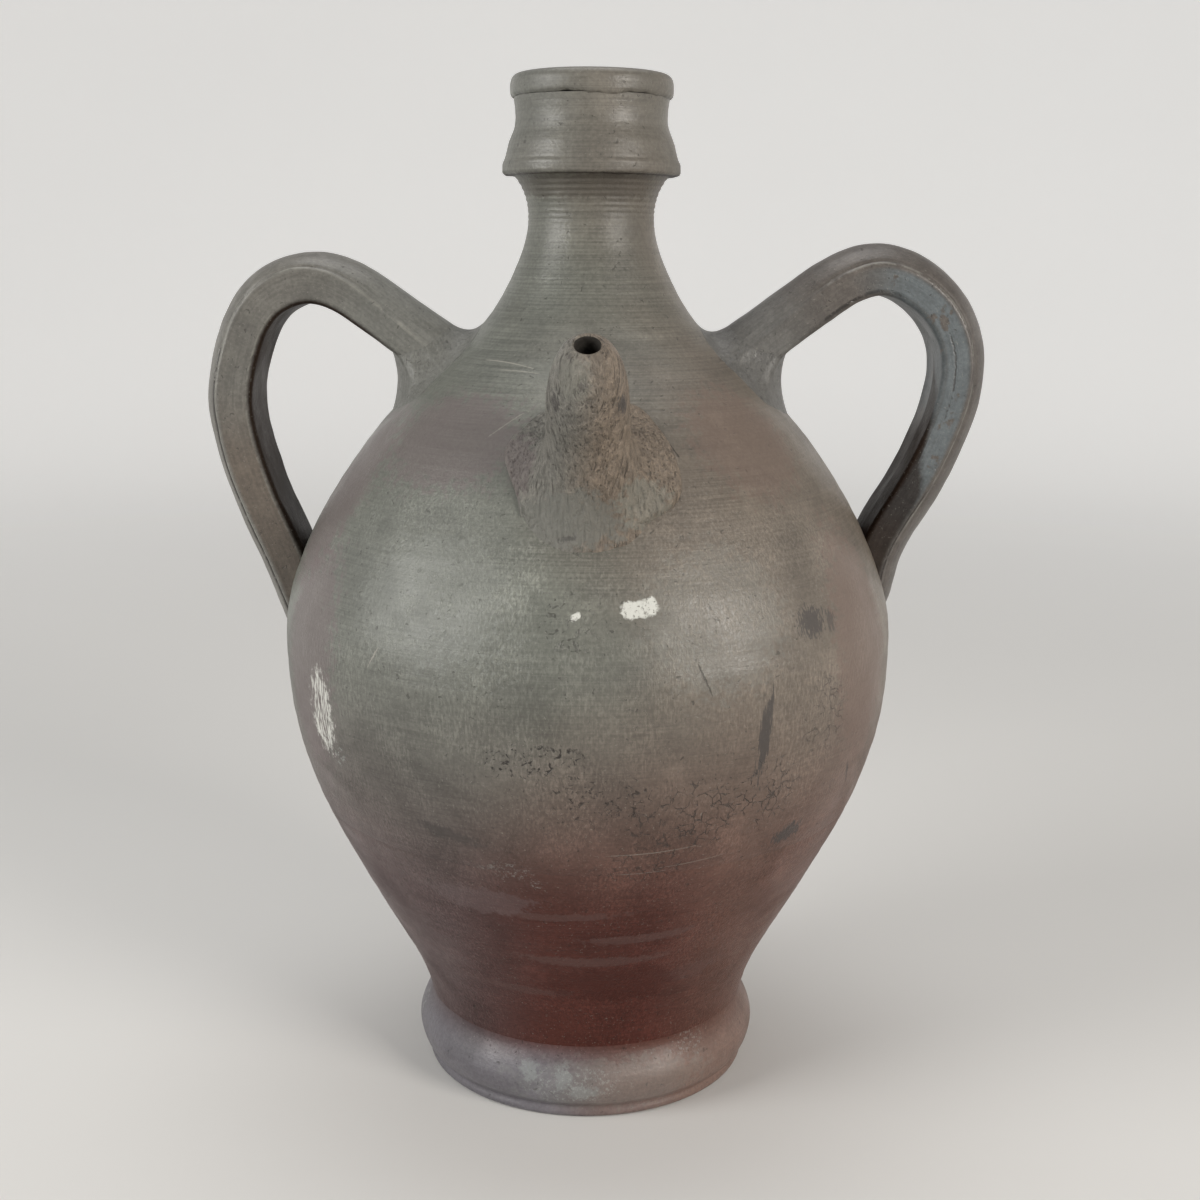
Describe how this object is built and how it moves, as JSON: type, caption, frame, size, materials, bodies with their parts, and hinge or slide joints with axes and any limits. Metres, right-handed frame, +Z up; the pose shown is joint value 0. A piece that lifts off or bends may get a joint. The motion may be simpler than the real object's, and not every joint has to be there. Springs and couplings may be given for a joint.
{
  "type": "botijo water jug",
  "caption": "Black-fired clay water jug (botijo) with a collared bottle neck for filling, a short drinking spout and side strap handles.",
  "frame": {"origin": "middle of the flat base, on the axis of the turned body", "axes": "+Z up along the body's axis, the drinking spout points to -Y, the strap handles stand out to -X and +X"},
  "size_m": [0.2526, 0.2047, 0.33],
  "materials": {
    "black_clay": "unglazed, burnished, reduction-fired black earthenware, satin",
    "foot_clay": "unglazed black earthenware, wiped and paler",
    "strap_clay": "unglazed black earthenware, smoothed by hand"
  },
  "bodies": {
    "root": {"foot_ring": "foot_clay", "lower_belly": "black_clay", "upper_belly": "black_clay", "neck": "black_clay", "mouth_collar": "black_clay", "rim_band": "black_clay", "spout": "black_clay", "spout_root_clay": "black_clay", "handle_left": "strap_clay", "handle_right": "strap_clay", "root_clay_left": "strap_clay", "root_clay_right": "strap_clay"}
  },
  "joints": []
}
